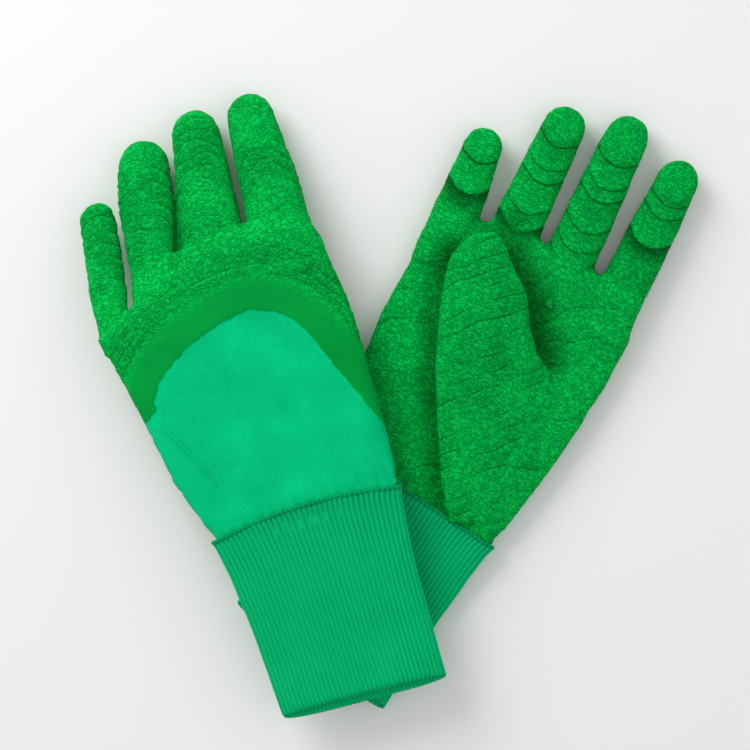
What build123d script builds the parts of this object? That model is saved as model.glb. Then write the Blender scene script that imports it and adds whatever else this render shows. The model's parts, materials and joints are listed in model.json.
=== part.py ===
"""A pair of latex-dipped gardening gloves lying crossed at their cuffs, in millimetres.

Each glove is modelled in its own frame: the origin is the middle of the wrist seam, +X points
to the index finger's side, +Y to the fingertips and +Z up. The right glove lies palm up with
its thumb folded over the palm, and the left glove lies palm down on top of the right cuff.
Every part of a glove is a flat pillow: an outline with thickness and rounded rims.
"""

from build123d import *
import os
from dataclasses import dataclass
from math import atan2, cos, degrees, radians, sin, tan

# Hand, from the wrist seam to the webs between the fingers.
HAND_LENGTH = 122.0
HAND_WIDTH = 102.0
HAND_THICKNESS = 16.0
WRIST_WIDTH = 84.0
PALM_FLARE = 50.0  # from the wrist to where the palm is at its full width
INDEX_SIDE_DROP = 15.0  # how far the webs' line falls towards each side
INDEX_WEB_X = 36.0
RING_WEB_X = -11.0
LITTLE_SIDE_DROP = 22.0

# Rib-knit cuff, folded double at its open end.
CUFF_LENGTH = 79.0
CUFF_WIDTH = 74.0
CUFF_THICKNESS = 12.0
CUFF_OFFSET = -7.0
COLLAR_LENGTH = 14.0
FOLD_LENGTH = 1.5

# Layers.
COAT = 0.7
LINER = 0.9
PLY = 1.0
SEAM_WIDTH = 2.4
SEAM_HEIGHT = 0.5
SEAM_CLEARANCE = 0.2
THREAD_WIDTH = 0.9
RIM_ROUNDING = 0.42  # of a pillow's thickness

# Digits.
FINGER_THICKNESS = 14.4
THUMB_LENGTH = 46.0
THUMB_WIDTH = 44.0
THUMB_TIP_WIDTH = 26.0
THUMB_THICKNESS = 11.5
THUMB_ROOT_LENGTH = 50.0
THUMB_ROOT_END_WIDTH = 35.2
THUMB_ROOT_DEPTH = 3.0  # of the root's end, from the hand's middle layer
THUMB_LEAN = -29.0
THUMB_HINGE_X = -5.4
THUMB_HINGE_Y = 77.0
SINK = 4.0  # how far a digit's hollow runs past its joint
OVERRUN = 3.0  # how far the hand and cuff blanks run past the wrist seam

# Motion and fits.
JOINT_GAP = 0.3
DIGIT_BEND = 90.0
WRIST_BEND = 60.0
CLEARANCE = 0.6

# Where the pair lies. The right wrist is the fixed one, and the left wrist is placed from it.
RIGHT_TURN = -28.0
LEFT_TURN = 22.5
LEFT_WRIST_X = -46.0
LEFT_WRIST_Y = -6.5
FINGER_DROOP = 10.0

# The cotton window in the latex, on the back of the hand.
WINDOW_TOP = 90.5
WINDOW_RIGHT_SHOULDER_X = 28.5
WINDOW_RIGHT_SHOULDER_Y = 76.0
WINDOW_LEFT_SHOULDER_X = -41.0
WINDOW_LEFT_SHOULDER_Y = 72.0
WINDOW_LEFT_FOOT_X = -45.0
WINDOW_LEFT_FOOT_Y = 58.0
WINDOW_RIGHT_FOOT_X = 44.0
WINDOW_RIGHT_FOOT_Y = 14.0
GORE_TOP = (-40.0, 56.0)
GORE_END = (-26.0, 18.0)

REACH = 400.0  # larger than the whole pair, for cutting tools


@dataclass
class Finger:
    """A finger's place on the hand and its size."""

    name: str
    x: float  # of its axis, as a share of half the hand's width
    from_web: float  # how far its root lies behind the web line
    lean: float  # towards the index finger's side, in degrees
    length: float
    width: float
    tip_width: float
    hinge: float  # from its root to its knuckle


@dataclass
class Glove:
    """One glove's pose: which way its palm faces, its heights and its fingers."""

    side: str
    palm: int  # 1 with the palm up, -1 with the palm down
    turn: float
    wrist: tuple
    wrist_z: float
    web_z: float
    cuff_z: float
    finger_droop: float
    thumb_gap: float  # between the palm and the thumb
    fingers: list

    def slope(self):
        """The hand's rise from the wrist to the webs, in degrees."""
        return degrees(atan2(self.web_z - self.wrist_z, HAND_LENGTH))

    def middle(self, y):
        """Height of the hand's middle layer at that distance from the wrist seam."""
        return self.wrist_z + (self.web_z - self.wrist_z) * y / HAND_LENGTH

    def hand_frame(self):
        return Pos(0, 0, self.wrist_z) * Rot(self.slope(), 0, 0)

    def place(self):
        return Pos(*self.wrist, 0) * Rot(0, 0, self.turn)


RIGHT_Z = HAND_THICKNESS / 2
LEFT_THUMB_GAP = 3.4
LEFT_WRIST_Z = 1.5 * HAND_THICKNESS + 6 * CLEARANCE
LEFT_WEB_Z = THUMB_THICKNESS + LEFT_THUMB_GAP + HAND_THICKNESS / 2
LEFT_CUFF_Z = 1.5 * CUFF_THICKNESS + 5 * CLEARANCE

RIGHT = Glove(
    side="right",
    palm=1,
    turn=RIGHT_TURN,
    wrist=(0.0, 0.0),
    wrist_z=RIGHT_Z,
    web_z=RIGHT_Z,
    cuff_z=CUFF_THICKNESS / 2,
    finger_droop=0.0,
    thumb_gap=CLEARANCE,
    fingers=[
        Finger("index", 0.745, 24.0, -1.6, 87.0, 22.6, 18.5, 49.0),
        Finger("middle", 0.235, 24.0, -1.2, 93.0, 23.0, 19.0, 50.0),
        Finger("ring", -0.295, 24.0, -1.0, 84.0, 22.0, 18.5, 48.0),
        Finger("little", -0.775, 30.0, -4.2, 65.0, 20.0, 16.5, 37.0),
    ],
)
LEFT = Glove(
    side="left",
    palm=-1,
    turn=LEFT_TURN,
    wrist=(LEFT_WRIST_X, LEFT_WRIST_Y),
    wrist_z=LEFT_WRIST_Z,
    web_z=LEFT_WEB_Z,
    cuff_z=LEFT_CUFF_Z,
    finger_droop=FINGER_DROOP,
    thumb_gap=LEFT_THUMB_GAP,
    fingers=[
        Finger("index", 0.655, 24.0, 6.8, 81.0, 24.0, 18.5, 49.0),
        Finger("middle", 0.085, 24.0, 9.0, 83.0, 23.6, 19.0, 49.0),
        Finger("ring", -0.480, 24.0, 12.8, 80.5, 21.6, 18.6, 47.0),
        Finger("little", -0.880, 30.0, 9.0, 67.0, 16.4, 14.6, 39.0),
    ],
)


# Pillows --------------------------------------------------------------------------------


def pillow(outline, thickness, inset):
    """A flat solid on the XY plane with rounded rims. The outline is already inset."""
    depth = thickness - 2 * inset
    solid = Pos(0, 0, -depth / 2) * extrude(outline, depth)
    rims = solid.faces().sort_by(Axis.Z)[0].edges() + solid.faces().sort_by(Axis.Z)[-1].edges()
    return fillet(rims, RIM_ROUNDING * thickness - inset)


def tapered(width, tip_width, length, thickness, inset):
    """A round-ended, tapering pillow along +Y from its root, shrunk by inset."""
    root = width / 2 - inset
    tip = tip_width / 2 - inset
    shoulder = length - tip_width / 2
    outline = make_face(
        [
            Line((-root, 0), (root, 0)),
            Line((root, 0), (tip, shoulder)),
            ThreePointArc((tip, shoulder), (0, shoulder + tip), (-tip, shoulder)),
            Line((-tip, shoulder), (-root, 0)),
        ]
    )
    return pillow(outline, thickness, inset)


def palm_pillow(glove, inset):
    """The hand without its digits, running past the wrist seam."""
    half = HAND_WIDTH / 2
    outline = make_face(
        Polyline(
            (-WRIST_WIDTH / 2, -OVERRUN),
            (WRIST_WIDTH / 2, -OVERRUN),
            (half, PALM_FLARE),
            (half, HAND_LENGTH - INDEX_SIDE_DROP),
            (INDEX_WEB_X, HAND_LENGTH),
            (RING_WEB_X, HAND_LENGTH),
            (-half, HAND_LENGTH - LITTLE_SIDE_DROP),
            (-half, PALM_FLARE),
            close=True,
        )
    )
    if inset:
        outline = offset(outline, -inset, kind=Kind.INTERSECTION)
    return glove.hand_frame() * pillow(outline, HAND_THICKNESS, inset)


def half_space(y, side):
    """A big box on the +Y (side 1) or -Y (side -1) side of a plane across the frame."""
    return Pos(0, y + side * REACH / 2, 0) * Box(REACH, REACH, REACH)


def between(shape, low, high):
    """The part of a shape whose Y lies between two values."""
    return shape & (Pos(0, 0.5 * (low + high), 0) * Box(REACH, high - low, REACH))


def fold_notch(width, depth, bend, side):
    """A wedge cut out on the side a joint folds to, so that its two edges meet at full bend."""
    half = JOINT_GAP / 2
    spread = half + depth * tan(radians(bend / 2))
    wedge = Polyline(
        (-half, 0), (half, 0), (spread, side * depth), (-spread, side * depth), close=True
    )
    return Pos(-width / 2, 0, 0) * extrude(Plane.YZ * make_face(wedge), width, dir=(1, 0, 0))


# Digits ---------------------------------------------------------------------------------


def finger_blank(finger, inset):
    """A whole finger along +Y from its root."""
    return tapered(finger.width, finger.tip_width, finger.length, FINGER_THICKNESS, inset)


def finger_frame(glove, finger):
    """Places a finger's root frame on its hand."""
    y = HAND_LENGTH - finger.from_web
    place = Pos(finger.x * HAND_WIDTH / 2, y, glove.middle(y))
    return place * Rot(0, 0, -finger.lean) * Rot(-glove.finger_droop, 0, 0)


def thumb_blank(inset):
    """The thumb past its hinge, along +Y."""
    return tapered(THUMB_WIDTH, THUMB_TIP_WIDTH, THUMB_LENGTH, THUMB_THICKNESS, inset)


def thumb_root_blank(inset, ahead=0.0):
    """The thumb behind its hinge, along -Y, closing inside the hand."""
    blank = tapered(
        THUMB_WIDTH, THUMB_ROOT_END_WIDTH, THUMB_ROOT_LENGTH + ahead, THUMB_THICKNESS, inset
    )
    return Pos(0, ahead, 0) * Rot(0, 0, 180) * blank


def thumb_offset(glove):
    """The thumb's height over the hand's middle layer."""
    return (HAND_THICKNESS + THUMB_THICKNESS) / 2 + glove.thumb_gap


def thumb_frame(glove):
    """Places the thumb's hinge frame over the palm."""
    over = Pos(THUMB_HINGE_X, THUMB_HINGE_Y, glove.palm * thumb_offset(glove))
    return glove.hand_frame() * over * Rot(0, 0, -THUMB_LEAN)


def thumb_root_frame(glove):
    """The root starts at the hinge and slopes into the palm."""
    slope = degrees(atan2(thumb_offset(glove) - THUMB_ROOT_DEPTH, THUMB_ROOT_LENGTH))
    return thumb_frame(glove) * Rot(glove.palm * slope, 0, 0)


def hinges(glove):
    """Each digit's hinge frame, with X along the axis, and its width and thickness there."""
    frames = {}
    for finger in glove.fingers:
        frame = finger_frame(glove, finger) * Pos(0, finger.hinge, 0)
        frames[finger.name] = (frame, finger.width + CLEARANCE, FINGER_THICKNESS)
    frames["thumb"] = (thumb_frame(glove), THUMB_WIDTH + 2, THUMB_THICKNESS)
    return frames


def hand_blank(glove, inset, past_joint):
    """Palm, finger stubs and thumb root, filled solid. The stubs end past_joint beyond joints."""
    solid = palm_pillow(glove, inset)
    for finger in glove.fingers:
        stub = finger_blank(finger, inset) & half_space(finger.hinge + past_joint, -1)
        solid += finger_frame(glove, finger) * stub
    root = thumb_root_frame(glove) * thumb_root_blank(inset, SINK)
    return solid + (root & (thumb_frame(glove) * half_space(past_joint, -1)))


def cut_notches(glove, shape):
    """Cuts every digit's folding notch out of a hand-side shape."""
    for frame, width, depth in hinges(glove).values():
        shape -= frame * fold_notch(width, depth, DIGIT_BEND, glove.palm)
    return shape


def digit_layers(glove):
    """The coat and liner of each digit past its hinge."""
    insets = (0, COAT, COAT + LINER)
    skins = {"thumb": [thumb_blank(inset) for inset in insets]}
    for finger in glove.fingers:
        to_root = Pos(0, -finger.hinge, 0)
        skins[finger.name] = [to_root * finger_blank(finger, inset) for inset in insets]
    keep = half_space(JOINT_GAP / 2, 1)
    nodes = {}
    for name, (frame, width, depth) in hinges(glove).items():
        notch = fold_notch(width, depth, DIGIT_BEND, glove.palm)
        outer, middle, inner = skins[name]
        nodes[f"{name}_coat"] = frame * (((outer - middle) & keep) - notch)
        nodes[f"{name}_liner"] = frame * (((middle - inner) & keep) - notch)
    return nodes


# Hand -----------------------------------------------------------------------------------


def window(glove):
    """A prism over the back of the hand, where the latex leaves the cotton bare."""
    side = REACH / 2
    wrist = -OVERRUN
    left = (WINDOW_LEFT_SHOULDER_X, WINDOW_LEFT_SHOULDER_Y)
    right = (WINDOW_RIGHT_SHOULDER_X, WINDOW_RIGHT_SHOULDER_Y)
    outline = [
        Spline(left, (WINDOW_LEFT_SHOULDER_X / 6, WINDOW_TOP - 1.5), (8, WINDOW_TOP), right),
        Line(right, (WINDOW_RIGHT_FOOT_X, WINDOW_RIGHT_FOOT_Y)),
        Line((WINDOW_RIGHT_FOOT_X, WINDOW_RIGHT_FOOT_Y), (side, WINDOW_RIGHT_FOOT_Y)),
        Line((side, WINDOW_RIGHT_FOOT_Y), (side, wrist)),
        Line((side, wrist), (-side, wrist)),
        Line((-side, wrist), (-side, WINDOW_LEFT_FOOT_Y)),
        Line((-side, WINDOW_LEFT_FOOT_Y), (WINDOW_LEFT_FOOT_X, WINDOW_LEFT_FOOT_Y)),
        Line((WINDOW_LEFT_FOOT_X, WINDOW_LEFT_FOOT_Y), left),
    ]
    return glove.hand_frame() * extrude(make_face(outline), REACH * -glove.palm)


def hand_half(glove, side):
    """A big block on one side of the hand's middle layer: side 1 above it, -1 below."""
    return glove.hand_frame() * (Pos(0, 0, side * REACH / 2) * Box(REACH, REACH, REACH))


def gore_strip(glove):
    """A thin upright wall along the gore seam."""
    run_x = GORE_END[0] - GORE_TOP[0]
    run_y = GORE_END[1] - GORE_TOP[1]
    wall = Box((run_x**2 + run_y**2) ** 0.5, THREAD_WIDTH, REACH)
    middle = Pos(0.5 * (GORE_TOP[0] + GORE_END[0]), 0.5 * (GORE_TOP[1] + GORE_END[1]), 0)
    return middle * Rot(0, 0, degrees(atan2(run_y, run_x))) * wall


def hand_layers(glove):
    """The latex coat, the two cotton panels and the two seams of the hand."""
    back = hand_half(glove, -glove.palm)
    liner_outer = hand_blank(glove, COAT, -JOINT_GAP / 2)
    shell = hand_blank(glove, 0, -JOINT_GAP / 2) - hand_blank(glove, COAT, SINK)
    coat = cut_notches(glove, (shell & half_space(SEAM_WIDTH + SEAM_CLEARANCE, 1)) - window(glove))
    front = hand_half(glove, glove.palm)
    liner = cut_notches(glove, (liner_outer - hand_blank(glove, COAT + LINER, SINK)) & half_space(0, 1))
    core = palm_pillow(glove, COAT)
    seam = between(palm_pillow(glove, COAT - 2 * SEAM_HEIGHT) - core, 0, SEAM_WIDTH)
    gore = (palm_pillow(glove, COAT - SEAM_HEIGHT) - core) & back & gore_strip(glove)
    return {
        "knuckle_coat": coat & back,
        "palm_coat": coat & front,
        "back_panel": liner & back,
        "palm_panel": liner & front,
        "wrist_seam": seam,
        "gore_seam": gore,
    }


# Cuff -----------------------------------------------------------------------------------


def cuff_tube(glove, inset):
    """The cuff's tapering tube, filled solid, running a little past the wrist seam."""
    lean = degrees(atan2(-CUFF_OFFSET, CUFF_LENGTH))
    ends = [
        (0, OVERRUN, glove.wrist_z, 0, WRIST_WIDTH, HAND_THICKNESS),
        (0, 0, glove.wrist_z, 0, WRIST_WIDTH, HAND_THICKNESS),
        (CUFF_OFFSET, -CUFF_LENGTH, glove.cuff_z, lean, CUFF_WIDTH, CUFF_THICKNESS),
    ]
    sections = []
    for x, y, z, turn, width, depth in ends:
        across = (cos(radians(turn)), -sin(radians(turn)), 0)
        plane = Plane(origin=(x, y, z), x_dir=across, z_dir=(across[1], -across[0], 0))
        rounding = RIM_ROUNDING * depth - inset
        sections.append(plane * RectangleRounded(width - 2 * inset, depth - 2 * inset, rounding))
    return loft(sections, ruled=True)


def cuff_hinge(glove):
    """The frame of the fold where the cuff leaves its collar, with X along the axis."""
    share = COLLAR_LENGTH / CUFF_LENGTH
    z = glove.wrist_z + (glove.cuff_z - glove.wrist_z) * share
    return Pos(CUFF_OFFSET * share, -COLLAR_LENGTH, z)


def cuff_layers(glove):
    """The collar that is sewn to the hand, and the two plies of the folded rib tube."""
    skins = [cuff_tube(glove, COAT + ply * PLY) for ply in (0, 1, 2)]
    notch = cuff_hinge(glove) * fold_notch(1.5 * WRIST_WIDTH, HAND_THICKNESS, WRIST_BEND, -glove.palm)
    collar = between(skins[0] - skins[2], -COLLAR_LENGTH + JOINT_GAP / 2, 0)
    below = half_space(-COLLAR_LENGTH - JOINT_GAP / 2, -1)
    lean = degrees(atan2(-CUFF_OFFSET, CUFF_LENGTH))
    fold_line = Pos(CUFF_OFFSET, -CUFF_LENGTH, 0) * Rot(0, 0, -lean) * Pos(0, FOLD_LENGTH, 0)
    outer = skins[0] - skins[1]
    inner = skins[1] - skins[2]
    fold = inner & (fold_line * half_space(0, -1))
    return {
        "cuff_collar": collar - notch,
        "cuff_rib": ((outer + fold) & below) - notch,
        "cuff_lining": ((inner - fold_line * half_space(0, -1)) & below) - notch,
    }


# The pair -------------------------------------------------------------------------------


def glove_nodes(glove):
    """Every node of one glove, in the shared frame before it is centred."""
    nodes = {**hand_layers(glove), **cuff_layers(glove), **digit_layers(glove)}
    return {f"{glove.side}_{name}": glove.place() * shape for name, shape in nodes.items()}


def pair():
    """Every node of both gloves, and the move that puts the origin under their middle."""
    nodes = {**glove_nodes(RIGHT), **glove_nodes(LEFT)}
    box = Compound([solid for shape in nodes.values() for solid in shape.solids()]).bounding_box()
    centre = Pos(-0.5 * (box.min.X + box.max.X), -0.5 * (box.min.Y + box.max.Y), -box.min.Z)
    return {name: centre * shape for name, shape in nodes.items()}, centre


def main():
    os.makedirs("parts", exist_ok=True)
    nodes, _ = pair()
    for name, shape in nodes.items():
        export_step(Compound(shape.solids(), label=name), f"parts/{name}.step")


if __name__ == "__main__":
    main()
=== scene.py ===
import json
import math

import bmesh
import bpy
import numpy as np
from mathutils import Matrix, Vector, noise


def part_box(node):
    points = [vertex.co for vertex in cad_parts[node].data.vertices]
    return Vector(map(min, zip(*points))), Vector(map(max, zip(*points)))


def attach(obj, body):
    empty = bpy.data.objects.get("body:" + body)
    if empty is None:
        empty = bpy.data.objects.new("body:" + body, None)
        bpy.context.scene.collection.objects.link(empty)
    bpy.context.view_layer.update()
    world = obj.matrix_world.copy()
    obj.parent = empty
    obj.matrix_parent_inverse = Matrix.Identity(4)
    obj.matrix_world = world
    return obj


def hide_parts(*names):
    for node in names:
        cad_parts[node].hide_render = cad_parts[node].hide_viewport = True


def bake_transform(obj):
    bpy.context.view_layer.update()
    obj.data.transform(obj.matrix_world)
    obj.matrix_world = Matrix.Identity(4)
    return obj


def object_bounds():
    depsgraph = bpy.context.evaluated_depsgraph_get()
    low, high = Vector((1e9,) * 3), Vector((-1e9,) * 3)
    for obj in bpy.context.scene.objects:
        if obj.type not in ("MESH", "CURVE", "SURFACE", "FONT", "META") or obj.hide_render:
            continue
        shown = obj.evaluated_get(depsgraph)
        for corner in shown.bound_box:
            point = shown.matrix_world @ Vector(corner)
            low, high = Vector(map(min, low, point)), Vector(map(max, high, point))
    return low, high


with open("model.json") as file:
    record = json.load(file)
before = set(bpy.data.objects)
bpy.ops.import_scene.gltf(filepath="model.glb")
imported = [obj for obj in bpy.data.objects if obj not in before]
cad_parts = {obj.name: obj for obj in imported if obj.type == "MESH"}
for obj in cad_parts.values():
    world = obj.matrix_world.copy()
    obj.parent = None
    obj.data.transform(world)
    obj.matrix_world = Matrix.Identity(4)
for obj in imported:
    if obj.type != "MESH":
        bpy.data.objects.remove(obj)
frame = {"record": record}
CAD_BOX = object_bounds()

bl_info = {
    "name": "Gardening Gloves",
    "version": (1, 0, 0),
    "blender": (4, 5, 0),
    "location": "View3D > Sidebar > Gloves",
    "description": "A crossed pair of latex-dipped gloves with rib-knit cuffs",
    "category": "Add Mesh",
}

MM = 0.001
SEAM_HALF = 1.2  # from the wrist seam's middle back to the glove's own zero


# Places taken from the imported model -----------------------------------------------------


def joint(name):
    return next(j for j in frame["record"]["behaviour"]["joints"] if j["name"] == name)


class Place:
    """A glove's own frame: millimetres from the middle of its wrist seam, +Y to the fingertips.

    palm is 1 where the palm faces up and -1 where it faces down.
    """

    def __init__(self, side, palm):
        self.side, self.palm = side, palm
        fold = joint(f"{side}_cuff_fold")
        across = Vector(fold["axis"]) * palm
        self.turn = math.atan2(across.y, across.x)
        self.spin = Matrix.Rotation(self.turn, 4, "Z")
        low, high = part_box(f"{side}_wrist_seam")
        seam = (Vector(low) + Vector(high)) / 2
        origin = Vector((seam.x, seam.y, 0)) - self.spin @ Vector((0, SEAM_HALF * MM, 0))
        self.matrix = Matrix.Translation(origin) @ self.spin @ Matrix.Scale(MM, 4)

    def out(self, x, y, z=0.0):
        return self.matrix @ Vector((x, y, z))

    def inward(self, point):
        return self.matrix.inverted() @ Vector(point)

    def hinge(self, digit):
        """A digit's hinge point and its direction towards the tip, in the glove's frame."""
        bend = joint(f"{self.side}_{digit}_bend")
        spot = self.inward(bend["pos_m"])
        across = (self.spin.inverted() @ Vector(bend["axis"])) * self.palm
        return spot, Vector((-across.y, across.x, 0)).normalized()


LEFT = Place("left", -1)
RIGHT = Place("right", 1)


# Shapes of the two gloves, in millimetres in each glove's own frame ---------------------
# A hand station is (y, left edge, right edge, half thickness). A finger is its root and tip,
# then its half widths at the root, the web, the knuckle and the last pad.

HANDS = {
    "left": {
        "stations": [
            (-6, -39.0, 39.0, 4.6),
            (3, -40.8, 41.0, 5.6),
            (9, -42.8, 43.2, 7.2),
            (18, -44.8, 45.0, 7.8),
            (34, -47.8, 47.2, 8.0),
            (62, -49.8, 50.6, 8.0),
            (84, -51.6, 50.6, 7.8),
            (92, -52.8, 50.6, 7.8),
            (98, -54.2, 50.8, 7.6),
            (103, -55.0, 50.8, 7.5),
            (108, -40.0, 50.6, 7.4),
            (116, -27.0, 49.0, 7.0),
            (121, -20.0, 42.0, 6.0),
            (125, -14.0, 30.0, 4.0),
        ],
        "middle": [(0, 27.4), (122, 22.9), (190, 20.0)],
        "fingers": {
            "index": ((33.5, 98, 23.0), (43.4, 178.2, 9.0), (14.0, 13.5, 12.3, 10.3)),
            "middle": ((1.5, 98, 23.0), (19.6, 180.4, 8.5), (14.4, 13.6, 12.1, 10.6)),
            "ring": ((-29.5, 98, 23.0), (-5.6, 176.6, 9.0), (9.4, 9.4, 12.2, 11.2)),
            "little": ((-49.3, 94, 23.5), (-34.3, 158.8, 12.0), (5.5, 8.1, 8.2, 7.8)),
        },
    },
    "right": {
        "stations": [
            (-6, -38.0, 38.0, 4.4),
            (3, -40.2, 40.2, 5.2),
            (9, -42.2, 41.6, 6.0),
            (18, -44.6, 43.4, 6.4),
            (34, -47.6, 46.8, 6.4),
            (62, -50.8, 50.0, 6.4),
            (92, -50.4, 50.8, 6.4),
            (104, -50.4, 50.6, 6.4),
            (112, -45.0, 48.0, 6.2),
            (119, -32.0, 38.0, 5.6),
            (124, -16.0, 22.0, 4.0),
        ],
        "middle": [(0, 7.2), (122, 7.2), (190, 7.2)],
        "fingers": {
            "index": ((38.0, 98, 7.2), (36.4, 184.0, 7.0), (12.0, 10.8, 10.2, 9.0)),
            "middle": ((12.0, 98, 7.2), (7.4, 190.8, 7.2), (12.0, 11.2, 10.6, 9.8)),
            "ring": ((-15.0, 98, 7.2), (-18.6, 181.4, 7.2), (12.0, 11.0, 10.2, 9.6)),
            "little": ((-39.5, 92, 7.2), (-46.4, 156.6, 7.0), (11.4, 10.2, 9.6, 8.8)),
        },
    },
}
# A thumb station is its left edge, its width, the heights of its two edges over the palm's
# middle, and its half thickness.
THUMB = [
    (-31.0, 112.5, 9.0, 13.2, 13.2, 2.6),
    (-34.2, 106.5, 18.0, 13.4, 13.4, 3.8),
    (-35.6, 99.0, 25.0, 13.6, 13.6, 4.7),
    (-34.8, 92.0, 30.0, 13.6, 13.6, 5.1),
    (-31.2, 80.8, 37.5, 13.6, 13.6, 5.4),
    (-26.0, 68.5, 40.0, 13.4, 13.2, 5.6),
    (-20.8, 57.2, 44.5, 12.9, 9.8, 5.8),
    (-15.0, 46.0, 54.0, 12.4, 2.4, 6.2),
    (-8.5, 34.4, 60.0, 11.6, -2.4, 6.6),
    (-1.5, 23.5, 54.0, 10.4, -2.6, 6.6),
    (5.5, 12.6, 44.0, 9.0, -2.4, 6.4),
    (12.0, 3.6, 32.0, 7.0, -2.0, 6.0),
    (18.0, -3.6, 20.0, 5.0, -1.0, 5.4),
]
# How far from each fingertip the slack latex folds over itself, on the glove that shows its palm.
SCALE_EDGES = {
    "index": (22, 27.5, 41),
    "middle": (24, 35, 41, 56, 65, 71),
    "ring": (19, 30, 36, 51, 59),
    "little": (16, 30),
}
THUMB_ACROSS = Vector((0.866, 0.5, 0))
THUMB_CROTCH = 7  # the station where the thumb's far edge runs into the palm
MELT_REACH = 9.0  # how widely the thumb's root is smoothed into the palm past there
THUMB_RISE = 7.4  # how high over the palm's middle the thumb's own skin starts
DIGIT_CUT = 17.0  # from a digit's hinge back to where its own piece starts
BEND_REACH = 13.0  # how far each side of its hinge a digit's start and end points are set
WRIST_LEAN = -0.09  # slope of the hand's end towards the index finger's side
WRIST_END = 20  # where that slope stops
HAND_SEGMENTS, FINGER_SEGMENTS = 72, 40
THUMB_OVAL = 64  # points of each of the thumb's ovals
THUMB_SEGMENTS = 48  # how many of them, from the first, its tube takes: the rest is a straight side

# The latex ends on the back of the hand along this line, from the little finger's side round.
PATCH = [
    (-70, 58), (-43.1, 63.0), (-41.6, 70.0), (-36, 76.6), (-23, 84), (-6.9, 89), (9.9, 90.2), (19, 86.0),
    (28.2, 78.2), (36.8, 48.5), (44.6, 24.0), (49, 13.0), (70, 11),
]
# Spacing of the latex's folds.
FINGER_ARC = 5.4
KNUCKLE_ARC = 3.9
THUMB_FOLD = 6.6
PALM_FOLD = 9.0
PLEAT = 3.6
WEB = 26.0  # along a finger, where it leaves the web on the glove that shows its back
# How deep the palm sinks on the thumb's far and near side, and how widely.
SINK_FAR, SINK_FAR_REACH = 3.4, 19
SINK_NEAR, SINK_NEAR_REACH = 2.6, 12

# The latex's look: wrinkles per metre, then shares of darkness and height; the crease and arc darkness is
# painted shade, the smooth darkness is the thinner coat's own.
LATEX_GRAIN = 680.0
CREASE_SHADE = 0.42
ARC_SHADE = 0.68
SMOOTH_DARK = 0.5
SMOOTH_LOSS = 0.88
ARC_RISE = 0.9
# Depth of each material's finest relief, in metres.
LATEX_BUMP = 0.00062
COTTON_BUMP = 0.0006
KNIT_BUMP = 0.00022
LOOKS = {
    "latex": "crackled latex",
    "cotton": "fine cotton jersey",
    "rib": "rib knit",
    "thread": "overlock thread",
}


# Sizes and colours a user may change ----------------------------------------------------


def length(name, text, value):
    return bpy.props.FloatProperty(name=name, description=text, default=value, unit="LENGTH", precision=5)


def colour(name, text, value):
    return bpy.props.FloatVectorProperty(
        name=name, description=text, default=value, subtype="COLOR", size=3, min=0, max=1
    )


class GloveSizes(bpy.types.PropertyGroup):
    """Sizes of the gloves' fine shapes."""

    voxel: length("Skin Detail", "Edge length of the skin's faces", 0.0009)
    coat_rise: length("Coat Rise", "How far the latex stands above the bare cotton", 0.00045)
    crease_depth: length("Crease Depth", "Depth of the deepest creases in the latex", 0.0013)
    crackle_depth: length("Crackle Depth", "Depth of the crackled finish", 0.0003)
    rib_depth: length("Rib Depth", "Height of the cuff's ribs", 0.00042)
    rib_count: bpy.props.IntProperty(
        name="Ribs", description="Ribs around each cuff", default=78, min=20, max=200
    )
    rib_steps: bpy.props.IntProperty(
        name="Rib Steps", description="Faces across each rib", default=6, min=4, max=12
    )


class GloveColours(bpy.types.PropertyGroup):
    """Colours of the gloves and the floor."""

    latex: colour("Latex", "The dipped latex coat", (0.0, 0.62, 0.088))
    # The next colour is painted shade: the latex is darkened towards it in its folds and creases.
    latex_crease_shade: colour("Latex Crease Shade", "Latex in its creases", (0.0, 0.17, 0.01))
    cotton: colour("Cotton", "The bare cotton on the back", (0.0015, 0.58, 0.222))
    rib: colour("Rib Knit", "The cuffs' rib knit", (0.0024, 0.50, 0.178))
    thread: colour("Seam Thread", "The seams' overlock thread", (0.002, 0.33, 0.105))
    floor: colour("Floor", "The pale floor", (0.83, 0.83, 0.83))


def sizes():
    return bpy.context.scene.glove_sizes


def colours():
    return bpy.context.scene.glove_colours


# Shader node groups and materials -------------------------------------------------------


def new_group(name, inputs, outputs):
    group = bpy.data.node_groups.new(name, "ShaderNodeTree")
    for label, kind, value in inputs:
        socket = group.interface.new_socket(label, in_out="INPUT", socket_type=kind)
        if value is not None:
            socket.default_value = value
    for label, kind in outputs:
        group.interface.new_socket(label, in_out="OUTPUT", socket_type=kind)
    return group, group.nodes.new("NodeGroupInput"), group.nodes.new("NodeGroupOutput")


def feed(tree, spot, value):
    """Gives a socket a value, or links another socket to it."""
    if isinstance(value, bpy.types.NodeSocket):
        tree.links.new(value, spot)
    else:
        spot.default_value = value


def node(tree, kind, settings=None, **inputs):
    """Adds a node. Inputs are values or sockets, named with _ for spaces, or by number as i0, i1."""
    made = tree.nodes.new(kind)
    for key, value in (settings or {}).items():
        setattr(made, key, value)
    for key, value in inputs.items():
        numbered = key[0] == "i" and key[1:].isdigit()
        feed(tree, made.inputs[int(key[1:]) if numbered else key.replace("_", " ")], value)
    return made


def maths(tree, operation, *values):
    inputs = {f"i{i}": value for i, value in enumerate(values)}
    return node(tree, "ShaderNodeMath", {"operation": operation}, **inputs).outputs[0]


def less_share(tree, value, share):
    """1 less a share of a value."""
    return maths(tree, "MULTIPLY_ADD", value, -share, 1.0)


def ramp(tree, value, **ends):
    """Eases a value from one end to the other."""
    settings = {"interpolation_type": "SMOOTHSTEP"}
    return node(tree, "ShaderNodeMapRange", settings, Value=value, **ends).outputs[0]


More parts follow.
